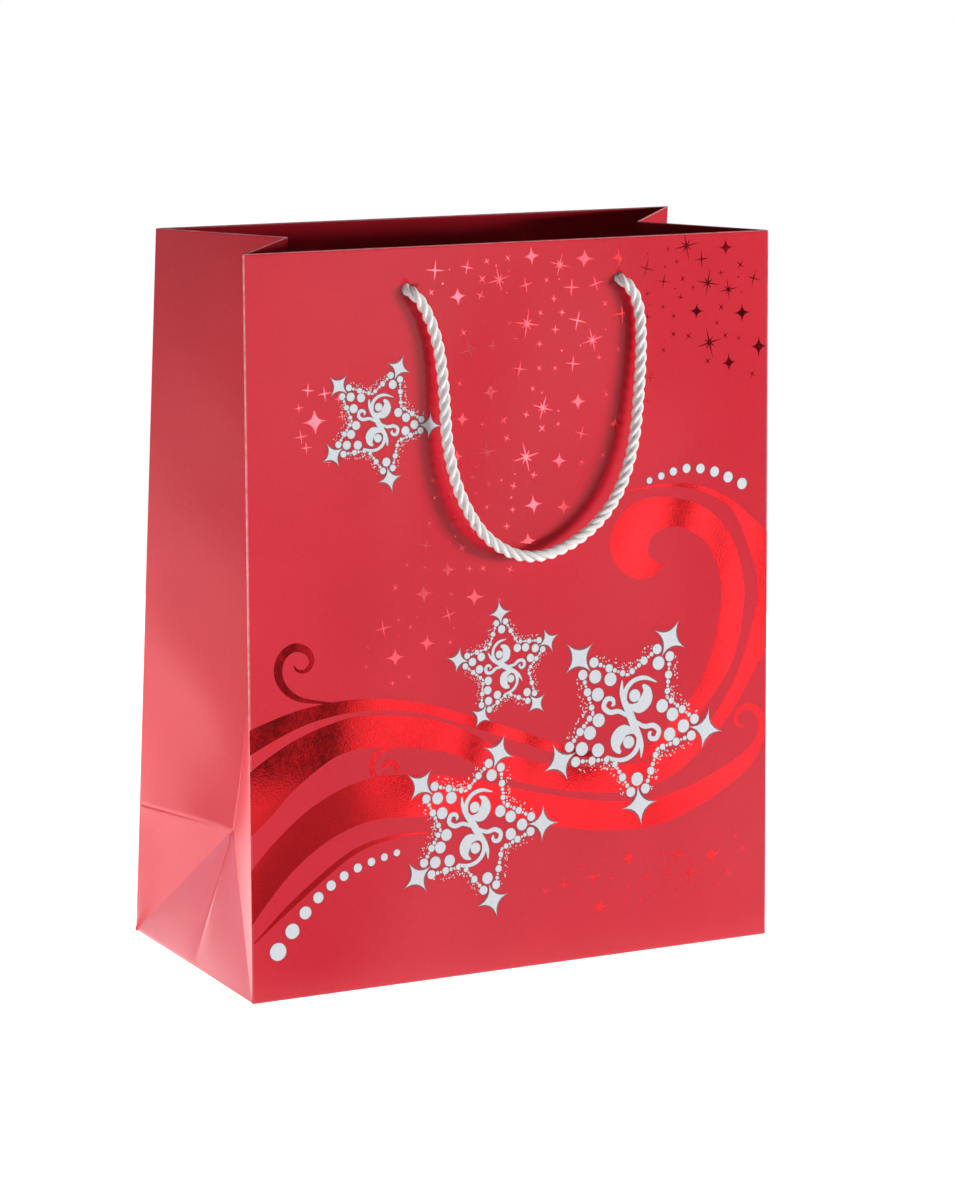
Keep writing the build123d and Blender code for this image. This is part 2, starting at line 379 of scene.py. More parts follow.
def side_points(z, split):
    """Corners of the right gusset at height z, from the front panel to the back panel."""
    front, back = (half_width, front_y(z)), (half_width, back_y(z))
    if not split:
        return [front, (half_width - fold_depth(z), (front[1] + back[1]) / 2), back]
    share = z / junction
    x = half_width - fold_depth(junction) * share
    middle = (front_y(junction) + back_y(junction)) / 2
    front_diagonal = front_foot + (middle - front_foot) * share
    back_diagonal = back_foot + (middle - back_foot) * share
    return [front, (x, front_diagonal), (x, (front_diagonal + back_diagonal) / 2), (x, back_diagonal), back]


def outline_corners(z, panel_inward, gusset_inward, split):
    """Corners of a level cut through the bag, its faces moved inwards by their own distances."""
    right = side_points(z, split)
    left = [(-x, y) for x, y in reversed(right)]
    points = np.array([left[-1], *right, *left[:-1]])
    facets = BELOW if split else ABOVE
    moved = np.array([panel_inward if name in ("front", "back") else gusset_inward for name in facets])
    runs = np.roll(points, -1, axis=0) - points
    runs /= np.linalg.norm(runs, axis=1)[:, None]
    inward = np.stack([-runs[:, 1], runs[:, 0]], axis=1)
    corners = []
    for i, point in enumerate(points):
        before, after = inward[i - 1], inward[i]
        if abs(before[0] * after[1] - before[1] * after[0]) < 0.02:
            corners.append(point + after * moved[i])
        else:
            corners.append(point + np.linalg.solve([before, after], [moved[i - 1], moved[i]]))
    return np.array(corners), facets


def stations(length, facet):
    """Distances along a facet, close together beside its folds."""
    count = MIDDLE_COLUMNS[facet if facet in MIDDLE_COLUMNS else facet.split("_")[1]]
    near = NEAR_FOLD * min(1, length / (4 * NEAR_FOLD[-1]))
    middle = np.linspace(near[-1], length - near[-1], count + 2)[1:-1]
    return np.concatenate([near, middle, length - near[::-1]])


def ring(z, panel_inward, gusset_inward, bend, split):
    """Points of one level of the sheet, facet by facet, with every fold rounded."""
    if split and z >= junction:
        whole = ring(z, panel_inward, gusset_inward, bend, False)
        for first in (2, 7):
            crease = whole[first - 1][-1]
            for _ in range(2):
                whole.insert(first, np.repeat([crease], len(stations(0, "right_foot_front")), axis=0))
        return whole
    level = min(max(z, LOWEST_PATTERN), height)
    corners, facets = outline_corners(level, panel_inward, gusset_inward, split)
    runs = np.roll(corners, -1, axis=0) - corners
    lengths = np.linalg.norm(runs, axis=1)
    runs /= lengths[:, None]
    bends = np.minimum(bend, 0.45 * np.minimum(lengths, np.roll(lengths, 1)))
    rows = []
    for i, facet in enumerate(facets):
        after = (i + 1) % len(facets)
        outward = np.array([runs[i][1], -runs[i][0]])
        points = []
        for distance in stations(lengths[i], facet):
            rest = lengths[i] - distance
            if distance < bends[i]:
                point = round_fold(corners[i], runs[i - 1], runs[i], bends[i], distance)
            elif rest < bends[after]:
                point = round_fold(corners[after], runs[i], runs[after], bends[after], -rest)
            else:
                point = corners[i] + runs[i] * distance
            point = point + outward * relief(facet, distance / lengths[i], point, z)
            points.append((point[0], point[1], z))
        rows.append(np.array(points))
    return rows


def round_fold(corner, run_in, run_out, bend, distance):
    """A parabola that leaves and meets the straight runs at one bend length from the corner."""
    before, after = (bend - distance) ** 2, (bend + distance) ** 2
    return corner + (run_out * after - run_in * before) / (4 * bend)


def sheet_profile():
    """The levels in order: up the outside, over the rim, down the hem, back up behind it and down
    the inside. Each is (height, panels' distance inwards, gussets' distance inwards, zone)."""
    low_levels = [1.0 * mm, 2.2 * mm]
    low_levels += list(np.linspace(5 * mm, junction - 4 * mm, 13))
    low_levels += [junction - d * mm for d in (2.4, 1.4, 0.8, 0.4)]
    high_levels = [junction + d * mm for d in (0.4, 0.8, 1.4, 2.4, 4)]
    high_levels += list(np.linspace(junction + 8 * mm, hem_bottom - 2 * mm, 44))
    hem_levels = [hem_bottom, *np.linspace(hem_bottom + 3 * mm, height - 1 * mm, 8)]
    rim = [(0.45, 0.0), (0.2, 0.06), (0.05, 0.18), (0.0, 0.35),
           (0.0, 0.65), (0.05, 0.82), (0.2, 0.94), (0.45, 1.0)]
    turn = [math.radians(angle) for angle in (90, 60, 30, 0)]
    radius = 1.0 * mm
    under = [(radius * (1 - math.sin(a)), radius * (1 - math.cos(a))) for a in turn]
    profile = [(z, inward, inward, "outside") for z, inward in under]
    profile.pop()
    profile += [(z, 0, 0, "outside") for z in low_levels + [junction] + high_levels + hem_levels]
    for drop, share in rim:
        profile.append((height - drop * mm, lined_wall * share, gusset_hem * share, "outside"))
    profile += [(z, lined_wall, gusset_hem, "hem") for z in reversed(hem_levels)]
    behind, gusset_behind = lined_wall - sheet, gusset_hem - sheet
    profile += [(z, behind, gusset_behind, "inside") for z in hem_levels[:-1]]
    profile.append((height - 1.2 * mm, behind, gusset_behind, "inside"))
    profile.append((height - sheet, behind - 0.3 * mm, gusset_behind, "inside"))
    profile.append((height - sheet, sheet + 0.3 * mm, sheet, "inside"))
    profile.append((height - 1.2 * mm, sheet, sheet, "inside"))
    profile += [(z, sheet, sheet, "inside") for z in reversed(high_levels + hem_levels[:-1])]
    profile += [(z, sheet, sheet, "inside") for z in [junction] + low_levels[:0:-1]]
    inner = radius - sheet
    for angle in reversed(turn):
        inward = radius - inner * math.cos(angle)
        profile.append((radius - inner * math.sin(angle), inward, inward, "inside"))
    return profile


def wear_and_highlight_of(facet, index, count, z, zone):
    """How pale a point is painted, partly wear and partly a painted highlight: the upright folds and the rim,
    most of all the front left fold.
    """
    if zone == "inside":
        return 0.0
    at_fold = index in (0, count - 1)
    near_fold = index in (1, 2, 3, count - 4, count - 3, count - 2)
    rim = 0.55 if height - z < 0.25 * mm else 0.0
    if facet in ("front", "back") and (at_fold or near_fold):
        left_front = facet == "front" and index <= 3
        strength = 0.95 if left_front else 0.35
        reach = min(1, max(0.12, (z - 40 * mm) / (150 * mm)))
        rim = max(rim, strength * reach * (1.0 if at_fold else 0.5))
    if facet == "left_half_front" and index >= count - 3:
        rim = max(rim, 0.7 * min(1, max(0.1, (z - 60 * mm) / (140 * mm))))
    if "half" in facet:
        rim *= 1.3
    return min(rim, 1.0)


def make_bag_sheet():
    bm = bmesh.new()
    # Vertex value for the pale folds and rim: partly wear, partly a painted highlight.
    wear_and_highlight = bm.verts.layers.float.new("wear_and_highlight")
    previous = None
    for z, panel_inward, gusset_inward, zone in sheet_profile():
        is_junction = abs(z - junction) < 1e-6
        going_in = zone == "inside"
        splits = [True, False] if is_junction else [z < junction]
        if is_junction and going_in:
            splits = [False, True]
        bend = FOLD_BEND if zone == "outside" else 0.35 * mm
        for split in splits:
            verts = []
            facets = BELOW if split else ABOVE
            for facet, points in zip(facets, ring(z, panel_inward, gusset_inward, bend, split)):
                for index, point in enumerate(points[:-1]):
                    vert = bm.verts.new(point)
                    vert[wear_and_highlight] = wear_and_highlight_of(facet, index, len(points), z, zone)
                    verts.append(vert)
            if previous and previous[1] == split:
                join_rings(bm, previous[0], verts, {"outside": 0, "hem": 0, "inside": 1}[zone])
            if previous is None:
                first = verts
            previous = (verts, split)
    join_rings(bm, previous[0], first, 1)
    sheet_mesh = mesh_from("bag_sheet", bm, merge=0.01 * mm)
    piece = make_object("bag_sheet", sheet_mesh, printed_card, raw_card, smooth_angle=50)
    punch_holes(piece)
    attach(piece, "root")
    gussets = [f"{side}_gusset_{half}" for side in ("left", "right") for half in ("front", "back", "foot")]
    hems = [f"{side}_hem_{half}" for side in ("left", "right") for half in ("front", "back")]
    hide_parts("front_panel", "back_panel", "front_hem", "back_hem", *gussets, *hems)
    return piece


def join_rings(bm, lower, upper, material):
    count = len(lower)
    for i in range(count):
        after = (i + 1) % count
        face = bm.faces.new((lower[i], lower[after], upper[after], upper[i]))
        face.material_index = material


# ---------------------------------------------------------------- places on the two panels
class Panel:
    """A panel's outer face: along runs to the viewer's right, up runs up it, out away from it."""

    def __init__(self, half):
        self.half = half
        face_y = front_y if half < 0 else back_y
        self.origin = Vector((0, face_y(hole_height), hole_height))
        self.right = Vector((-half, 0, 0))
        self.up = Vector((0, face_y(height) - face_y(0), height)).normalized()
        self.out = self.right.cross(self.up)

    def point(self, along, up, out):
        return self.origin + self.right * along + self.up * up + self.out * out


front_face, back_face = Panel(-1), Panel(1)


def punch_holes(piece):
    for panel in (front_face, back_face):
        for along in (-hole_spacing / 2, hole_spacing / 2):
            turn = panel.out.to_track_quat("Z", "Y").to_matrix().to_4x4()
            punch = bmesh.new()
            bmesh.ops.create_cone(punch, segments=40, radius1=hole_radius, radius2=hole_radius, depth=12 * mm,
                                  cap_ends=True, matrix=Matrix.Translation(panel.point(along, 0, 0)) @ turn)
            tool = make_object("punch", mesh_from("punch", punch))
            cut = piece.modifiers.new("hole", "BOOLEAN")
            cut.operation = "DIFFERENCE"
            cut.solver = "EXACT"
            cut.object = tool
            bpy.context.view_layer.objects.active = piece
            bpy.ops.object.modifier_apply(modifier=cut.name)
            bpy.data.objects.remove(tool)


# ---------------------------------------------------------------- rope
ROPE_PITCH = 16.5 * mm          # one full turn of the three strands
STRAND_RADIUS = rope_diameter / 2 / (1 + 1 / math.sin(math.pi / 3))
YARNS = 9                       # bundles of filaments round each strand
STRAND_SIDES = 27
RING_STEP = 0.75 * mm


def smooth_path(controls, name):
    """Points along the NURBS spline that a route's points lead, read back from Blender."""
    curve = bpy.data.curves.new(name, "CURVE")
    curve.dimensions = "3D"
    curve.resolution_u = 24
    spline = curve.splines.new("NURBS")
    spline.points.add(len(controls) - 1)
    for point, control in zip(spline.points, controls):
        point.co = (*control, 1)
    spline.use_endpoint_u = True
    spline.order_u = 3
    line = bpy.data.objects.new(name, curve)
    bpy.context.scene.collection.objects.link(line)
    bpy.context.view_layer.update()
    mesh = bpy.data.meshes.new_from_object(line)
    points = np.array([vertex.co for vertex in mesh.vertices])
    bpy.data.objects.remove(line)
    return points


def even_path(points, step):
    """The same line with its points one step apart."""
    runs = np.linalg.norm(np.diff(points, axis=0), axis=1)
    along = np.concatenate([[0], np.cumsum(runs)])
    wanted = np.linspace(0, along[-1], max(2, round(along[-1] / step)) + 1)
    return np.stack([np.interp(wanted, along, points[:, axis]) for axis in range(3)], axis=1), wanted


def carried_frames(points):
    """A pair of directions across the line at each point, carried along it without twisting."""
    tangents = np.gradient(points, axis=0)
    tangents /= np.linalg.norm(tangents, axis=1)[:, None]
    start = np.cross(tangents[0], (0.31, 0.95, 0.05))
    across = [start / np.linalg.norm(start)]
    for tangent in tangents[1:]:
        carried = across[-1] - tangent * (across[-1] @ tangent)
        across.append(carried / np.linalg.norm(carried))
    across = np.array(across)
    return across, np.cross(tangents, across)


def lay_rope(bm, uv, points, start_turn=0.0, splay=0.0):
    """Three strands twisted right-handed round a line, each with its yarns standing a little proud."""
    points, along = even_path(points, RING_STEP)
    first, second = carried_frames(points)
    offset = rope_diameter / 2 - STRAND_RADIUS
    total = along[-1]
    for strand in range(3):
        rings = []
        for i, centre in enumerate(points):
            turn = start_turn + 2 * math.pi * (along[i] / ROPE_PITCH + strand / 3)
            loosen = 1 + splay * max(0, 1 - (total - along[i]) / (5 * mm)) ** 2
            out = first[i] * math.cos(turn) + second[i] * math.sin(turn)
            side = second[i] * math.cos(turn) - first[i] * math.sin(turn)
            middle = centre + out * offset * loosen
            verts = []
            for k in range(STRAND_SIDES):
                angle = 2 * math.pi * k / STRAND_SIDES
                yarn = 1 + 0.035 * math.cos(YARNS * (angle + 2.2 * along[i] / ROPE_PITCH))
                radius = STRAND_RADIUS * 1.07 * yarn
                direction = out * math.cos(angle + math.pi) + side * math.sin(angle + math.pi)
                verts.append(bm.verts.new(middle + direction * radius))
            rings.append(verts)
        close_strand(bm, uv, rings, along)


def close_strand(bm, uv, rings, along):
    for i in range(len(rings) - 1):
        for k in range(STRAND_SIDES):
            after = (k + 1) % STRAND_SIDES
            face = bm.faces.new((rings[i][k], rings[i][after], rings[i + 1][after], rings[i + 1][k]))
            places = ((k, i), (k + 1, i), (k + 1, i + 1), (k, i + 1))
            for loop, (around, row) in zip(face.loops, places):
                twist = 0.35 * along[row] / mm
                loop[uv].uv = ((around * 26 / STRAND_SIDES) + twist, along[row] / mm * 0.22)
    for end in (rings[0], rings[-1]):
        bm.faces.new(end)


front_route = [
    (-52.5, 0.0, -1.2), (-52.3, -0.6, 5.0), (-45.5, -9.0, 4.6), (-40.0, -24.0, 5.2), (-38.0, -45.0, 6.2),
    (-37.5, -68.0, 7.0), (-31.5, -91.0, 8.0), (-18.0, -111.0, 9.0), (3.5, -120.0, 9.5), (28.0, -112.5, 9.0),
    (46.0, -97.0, 8.2), (55.5, -75.0, 7.2), (59.0, -50.0, 6.2), (61.0, -25.0, 5.0), (59.5, -9.5, 4.5),
    (52.7, -0.5, 5.0), (52.5, 0.0, -1.2),
]
back_route = [
    (-52.5, 0.0, -1.2), (-52.9, -0.4, 5.0), (-55.8, -11.0, 4.5), (-56.5, -28.0, 5.2), (-54.0, -50.0, 6.0),
    (-50.5, -73.0, 7.0), (-41.5, -94.0, 7.8), (-26.0, -110.0, 8.6), (-5.0, -118.5, 9.0), (18.0, -115.5, 8.8),
    (36.0, -102.0, 8.2), (46.5, -82.0, 7.4), (51.0, -58.0, 6.4), (53.0, -33.0, 5.4), (55.3, -13.0, 4.5),
    (52.8, -0.5, 5.0), (52.5, 0.0, -1.2),
]


def make_rope(panel, route, name):
    """A rope handle from hole to hole, with a stopper knot at each end."""
    controls = [panel.point(*(value * mm for value in point)) for point in route]
    path = smooth_path(controls, name + "_line")
    bm = bmesh.new()
    uv = bm.loops.layers.uv.new("fibres")
    lay_rope(bm, uv, path)
    piece = make_object(name, mesh_from(name, bm), satin_rope, smooth_angle=80)
    half_name = "front" if panel.half < 0 else "back"
    start = panel.point(0, -1.4 * mm, 1.4 * mm)
    end = panel.point(0, -4.5 * mm, 4.5 * mm)
    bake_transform(piece)
    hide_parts(f"{half_name}_rope_loop")
    knots = [make_knot(panel, -1, f"{half_name}_left_knot"), make_knot(panel, 1, f"{half_name}_right_knot")]
    exit_point = panel.point(-hole_spacing / 2, 0, 0)
    return piece


def make_knot(panel, side, node):
    """The stopper knot behind the hem: two turns of rope wound back over itself, and a short tail."""
    core = [(0, 0, out) for out in (-0.8, -2.5, -4.5, -6.5, -8.0)]
    wrap_radius = 0.80 * rope_diameter / mm
    wraps = []
    for step in range(0, 33):
        angle = math.radians(90 + side * step * 22.5)
        radius = wrap_radius * min(1, 0.35 + step * 0.22)
        out = -10.2 + 4.6 * (step / 32) ** 1.1
        wraps.append((radius * math.cos(angle), radius * math.sin(angle) - 1.2, out))
    tail = [(side * 4.0, -6.0 * (1 + i * 0.55), -6.2 - 1.6 * i) for i in range(5)]
    centre = side * hole_spacing / 2
    points = []
    for along, up, out in core + wraps + tail:
        points.append(panel.point(centre + along * mm, up * mm, out * mm))
    path = smooth_path(points, node + "_line")
    bm = bmesh.new()
    uv = bm.loops.layers.uv.new("fibres")
    lay_rope(bm, uv, path, splay=0.5)
    piece = make_object(node + "_rope", mesh_from(node, bm), satin_rope, smooth_angle=80)
    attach(piece, "root")
    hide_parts(node)
    return piece


# ---------------------------------------------------------------- printing on the two panels
PRINT_DEPTH = 0.05 * mm         # how far foil and ink stand on the card
PRINT_MARGIN = 0.35 * mm        # they stop short of the folds and the rim
CURVE_STEP = 1.5                # spacing in mm of the points along a printed curve


def smooth_rows(rows, step=CURVE_STEP):
    """A Catmull-Rom curve through rows of numbers, spaced by the distance of their first two."""
    given = np.array(rows, float)
    ends = np.vstack([2 * given[0] - given[1], given, 2 * given[-1] - given[-2]])
    pieces = []
    for a, b, c, d in zip(ends, ends[1:], ends[2:], ends[3:]):
        count = max(2, math.ceil(np.linalg.norm((c - b)[:2]) / step))
        t = np.linspace(0, 1, count, endpoint=False)[:, None]
        pieces.append(b + 0.5 * t * (c - a + t * (2 * a - 5 * b + 4 * c - d + t * (3 * b - a - 3 * c + d))))
    return np.vstack([*pieces, given[-1:]])


class Print:
    """Shapes in one ink, drawn flat in mm of x and height as for the front, then laid on a panel."""

    def __init__(self, name, material, slot, lift):
        self.name = name
        self.material = material
        self.slot = slot
        self.lift = lift
        self.shapes = 0
        # Share of painted highlight that the next corners get, stored as the vertex value 'pale'.
        self.painted_highlight_share = 0.0
        self.bm = bmesh.new()
        self.pale = self.bm.verts.layers.float.new("pale")

    def corner(self, x, z):
        """A point of the current shape; 16 shapes in a row each lie a little higher than the last."""
        vert = self.bm.verts.new((x * mm, -self.lift - (self.shapes % 16) * 0.0015 * mm, z * mm))
        vert[self.pale] = self.painted_highlight_share
        return vert

    def fan(self, x, z, outline):
        self.shapes += 1
        hub = self.corner(x, z)
        rim = [self.corner(*point) for point in outline]
        for one, after in zip(rim, rim[1:] + rim[:1]):
            self.bm.faces.new((hub, one, after))

    def disc(self, x, z, radius, sides=16):
        angles = [2 * math.pi * i / sides for i in range(sides)]
        self.fan(x, z, [(x + radius * math.cos(a), z + radius * math.sin(a)) for a in angles])

    def concave_star(self, x, z, radius, turn, power=4.0):
        """A four-pointed star with hollow sides."""
        outline = []
        for i in range(32):
            angle = math.pi * i / 16
            u = math.copysign(abs(math.cos(angle)) ** power, math.cos(angle)) * radius
            v = math.copysign(abs(math.sin(angle)) ** power, math.sin(angle)) * radius
            outline.append((x + u * math.cos(turn) - v * math.sin(turn),
                            z + u * math.sin(turn) + v * math.cos(turn)))
        self.fan(x, z, outline)

    def rays(self, x, z, radius, count, turn, waist=0.10, short=1.0):
        """Thin rays round a point; every second ray can be shorter."""
        outline = []
        for i in range(2 * count):
            length = radius * (1 if i % 4 == 0 else short) if i % 2 == 0 else radius * waist
            angle = turn + math.pi * i / count
            outline.append((x + length * math.cos(angle), z + length * math.sin(angle)))
        self.fan(x, z, outline)

    def band(self, rungs):
        """A band between two edges; each row is one edge's x and z, then the other's."""
        self.shapes += 1
        rows = smooth_rows(rungs)
        widest = np.linalg.norm(rows[:, :2] - rows[:, 2:], axis=1).max()
        across = max(1, math.ceil(widest / 3.5))
        grid = []
        for row in rows:
            steps = [row[:2] + (row[2:] - row[:2]) * i / across for i in range(across + 1)]
            grid.append([self.corner(*place) for place in steps])
        for low, high in zip(grid, grid[1:]):
            for i in range(across):
                self.bm.faces.new((low[i], low[i + 1], high[i + 1], high[i]))

    def ribbon(self, controls, widen=0.0):
        """A stroke along a curve; each row is x, z and the stroke's width there."""
        rows = smooth_rows(controls, CURVE_STEP / 2)
        heading = np.gradient(rows[:, :2], axis=0)
        heading /= np.linalg.norm(heading, axis=1)[:, None]
        aside = np.stack([-heading[:, 1], heading[:, 0]], axis=1) * (rows[:, 2:3] + widen) / 2
        self.band(np.hstack([rows[:, :2] - aside, rows[:, :2] + aside])[::2])

    def cut(self, place, outwards, clear):
        everything = self.bm.verts[:] + self.bm.edges[:] + self.bm.faces[:]
        bmesh.ops.bisect_plane(self.bm, geom=everything, plane_co=place, plane_no=outwards, clear_outer=clear)

    def lay(self, on_back):
        """Cut the shapes off at the panel's edges, give them depth and lay them on the panel."""
        edge = half_width - PRINT_MARGIN
        self.cut((edge, 0, 0), (1, 0, 0), True)
        self.cut((-edge, 0, 0), (-1, 0, 0), True)
        self.cut((0, 0, height - PRINT_MARGIN), (0, 0, 1), True)
        for step in (-5, -2.4, -1, 0, 1, 2.4, 5) if on_back else ():
            self.cut((0, 0, junction + step * mm), (0, 0, 1), False)
        bmesh.ops.dissolve_degenerate(self.bm, dist=0.001 * mm, edges=self.bm.edges[:])
        under = bmesh.ops.extrude_face_region(self.bm, geom=self.bm.faces[:], use_keep_orig=True)
        for item in under["geom"]:
            if isinstance(item, bmesh.types.BMVert):
                item.co.y += PRINT_DEPTH
        for vert in self.bm.verts:
            x, sunk, z = vert.co
            if on_back:
                vert.co = (-x, back_y(z) + back_relief(-x, z) - sunk, z)
            else:
                vert.co.y = front_y(z) - front_relief(x, z) + sunk
        piece = make_object(self.name, mesh_from(self.name, self.bm), self.material, smooth_angle=30)
        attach(piece, "root")


def draw_swirls(foil_print):
    """The foil swirls: four bands from the left fold, a large curl on the right and small curls."""
    foil_print.ribbon([
        (-142, 108, 12), (-129, 114, 10), (-103, 122.5, 7), (-75, 125, 5.2), (-47, 121, 4.2),
        (-21, 112.3, 4.6), (0, 104.5, 4.8), (20, 97, 4.2), (42, 91, 2.5),
    ])
    foil_print.ribbon([
        (-142, 79, 24), (-129, 88, 22.5), (-116, 98, 19.5), (-103, 105.7, 17), (-90, 111, 14.5),
        (-75, 113.2, 14.3), (-48, 110.2, 13.4), (-28, 104, 11.5), (-8, 93, 10.5), (12, 85.8, 10.2),
        (35, 81.2, 11.2), (58, 80, 12), (76, 83, 10.5), (90, 89.5, 7), (100, 97, 4),
    ])
    foil_print.ribbon([
        (-139, 35, 15), (-128.5, 48, 15.4), (-113, 63.8, 15.8), (-93.5, 76.8, 17.4), (-71, 83.5, 18.6),
        (-43, 82.2, 18), (-20, 79, 15), (-3, 75, 12.6), (20, 68.6, 13.3), (45, 64, 13), (70, 63, 12.4),
        (88, 67, 10.8), (103, 73, 9.4), (117, 80.6, 7.4), (124.3, 87.5, 5), (127.4, 95.2, 3.6),
        (125.6, 103, 3.2), (119.5, 106.2, 2.7), (114.2, 103.8, 2.2), (113.8, 99.2, 1.6), (118, 97, 0.6),
    ])
    foil_print.ribbon([(-129, 26.6, 0.6), (-107, 44, 2.7), (-81, 61, 2.4), (-60, 66, 1.4), (-44, 66, 0.3)])
    foil_print.band([
        (76, 175, 76, 175.4), (69, 169.5, 73, 175), (60, 169.5, 70, 176.5), (51, 176, 67.5, 179),
        (48, 188, 67.5, 184), (57, 201, 70, 188), (73, 204.5, 76, 190.5), (93, 200, 85, 190),
        (109, 187, 98, 182), (117, 166, 105, 166), (117, 149, 105, 151), (112, 129, 101, 134),
        (102, 114, 93, 117.5), (89, 102, 82, 106), (75, 91.5, 71, 96), (62, 87, 61, 90),
    ])
    foil_print.band([
        (58, 208.7, 58, 208.3), (77, 210.3, 77, 209), (92, 208.5, 91.5, 206.6), (105, 204, 104, 201.5),
        (118, 195, 113.5, 193), (140, 173, 124, 167), (140, 150, 124, 152), (124, 124, 115.5, 125),
        (107, 100, 101.5, 103.5), (84, 84, 80, 88),
    ])
    foil_print.ribbon([
        (-86, 126.4, 0.5), (-96, 128, 1.2), (-106, 130.3, 2.3), (-113, 135.5, 3.3),
        (-115.8, 142.6, 4), (-113.6, 149.4, 4), (-107.8, 152.6, 3.8), (-101.8, 150.4, 3.2),
        (-99.8, 145.6, 2.5), (-102.7, 142.2, 1.9), (-106.6, 142.6, 1.2), (-108.6, 145.3, 0.5),
    ])
    foil_print.ribbon([
        (-56, 105.6, 0.6), (-64.4, 105, 1.6), (-69.6, 102.5, 2.3), (-71.6, 98, 2.5), (-70.6, 94, 2.2),
        (-67.6, 92.6, 1.2), (-65.4, 94.4, 0.5),
    ])
    foil_print.ribbon([
        (-59.6, 93.4, 0.8), (-59.4, 96.4, 2.2), (-62.4, 98.8, 2.3), (-65.8, 97.6, 1.8), (-66, 95.6, 0.6),
    ])


def draw_sparkles(foil_print):
    """Foil sparkles strewn along a drift from the rim down to the curl on the left."""
    dice = random.Random(41)
    drift = smooth_rows([(50, 314, 64), (34, 290, 60), (20, 262, 54), (2, 226, 44), (-16, 194, 34),
                         (-40, 166, 27), (-62, 140, 18)], 2)
    corner = smooth_rows([(76, 306, 20), (94, 298, 32), (108, 284, 26), (112, 262, 14)], 2)
    foot = smooth_rows([(24, 36, 12), (50, 34, 22), (80, 34, 24), (108, 40, 14)], 2)
    rim = smooth_rows([(-30, 304, 13), (10, 306, 14), (56, 307, 14)], 2)
    keep_clear = [(-67, 246, 30), (-5.5, 135.5, 28), (-52.5, 301, 10), (52.5, 301, 10), (58.6, 106.4, 46),
                  (-21, 65.6, 40), (90, 180, 36)]
    kinds = (
        (15, lambda x, z, turn: foil_print.concave_star(x, z, dice.uniform(4.6, 5.8), turn / 3, 4.6)),
        (9, lambda x, z, turn: foil_print.rays(x, z, dice.uniform(5.2, 7.6), 8, turn, 0.13, short=0.5)),
        (10, lambda x, z, turn: foil_print.rays(x, z, dice.uniform(3.2, 4.8), 4, turn, 0.10)),
        (7, lambda x, z, turn: foil_print.rays(x, z, dice.uniform(1.3, 2.4), 4, turn + math.pi / 4, 0.15)),
        (6, lambda x, z, turn: foil_print.rays(x, z, dice.uniform(1.3, 2.2), 4, turn, 0.15)),
        (3, lambda x, z, turn: foil_print.disc(x, z, dice.uniform(0.25, 0.45), 8)),
    )
    placed = []
    # The last number of each drift is its painted highlight: how much paler its sparkles are drawn, less
    # towards the right.
    for line, amounts, painted_highlight_share in (
        (rim, (4, 2, 6, 9, 8, 6), 1.0), (drift, (15, 8, 12, 38, 30, 18), 0.9),
        (corner, (4, 2, 5, 14, 12, 5), 0.3), (foot, (3, 2, 4, 10, 7, 5), 0.15),
    ):
        for amount, (gap, draw) in zip(amounts, kinds):
            tries = 0
            while amount and tries < 900:
                tries += 1
                x, z, reach = line[dice.randrange(len(line))]
                angle, away = dice.uniform(0, 2 * math.pi), reach * math.sqrt(dice.random())
                x, z = x + away * math.cos(angle), z + 0.6 * away * math.sin(angle)
                near = any(math.hypot(x - px, z - pz) < (gap + other) / 2 for px, pz, other in placed)
                blocked = any(math.hypot(x - cx, z - cz) < reach for cx, cz, reach in keep_clear)
                if near or blocked or abs(x) > 125 or not 6 < z < 315:
                    continue
                placed.append((x, z, gap))
                amount -= 1
                foil_print.painted_highlight_share = painted_highlight_share * min(1, max(0.3, (75 - x) / 60))
                draw(x, z, dice.uniform(-0.3, 0.3))
    # The cluster beside the top left star is drawn fully pale, a painted highlight.
    foil_print.painted_highlight_share = 1.0
    foil_print.concave_star(-97, 248, 7.4, 0.05, 4.6)
    for i in range(9):
        angle = 2 * math.pi * i / 9 + dice.uniform(-0.2, 0.2)
        away = dice.uniform(12, 19)
        foil_print.rays(-95 + 0.8 * away * math.cos(angle), 248 + away * math.sin(angle),
                        dice.uniform(1.6, 3.4), 4, dice.uniform(-0.2, 0.2), 0.12)


STAR_EDGE = (0.016, 0.030, 0.014, 0.022, 0.040, 0.014, 0.022, 0.050)    # dot sizes, inner corner to tip
STAR_SCROLLS = (
    ((0, 0, 0.085), (-0.02, 0.10, 0.08), (-0.05, 0.20, 0.06), (-0.055, 0.30, 0.045), (-0.03, 0.40, 0.008)),
    ((-0.045, 0.16, 0.03), (-0.01, 0.29, 0.05), (0.09, 0.36, 0.045), (0.22, 0.355, 0.04),
     (0.35, 0.27, 0.008)),
    ((-0.02, 0.02, 0.03), (-0.12, 0.11, 0.045), (-0.22, 0.13, 0.05), (-0.275, 0.20, 0.052),
     (-0.225, 0.265, 0.05), (-0.165, 0.24, 0.042), (-0.17, 0.19, 0.034), (-0.205, 0.195, 0.01)),
    ((0.0, 0.15, 0.012), (0.03, 0.115, 0.06), (0.11, 0.09, 0.12), (0.195, 0.15, 0.135), (0.215, 0.24, 0.08),
     (0.17, 0.305, 0.012)),
)


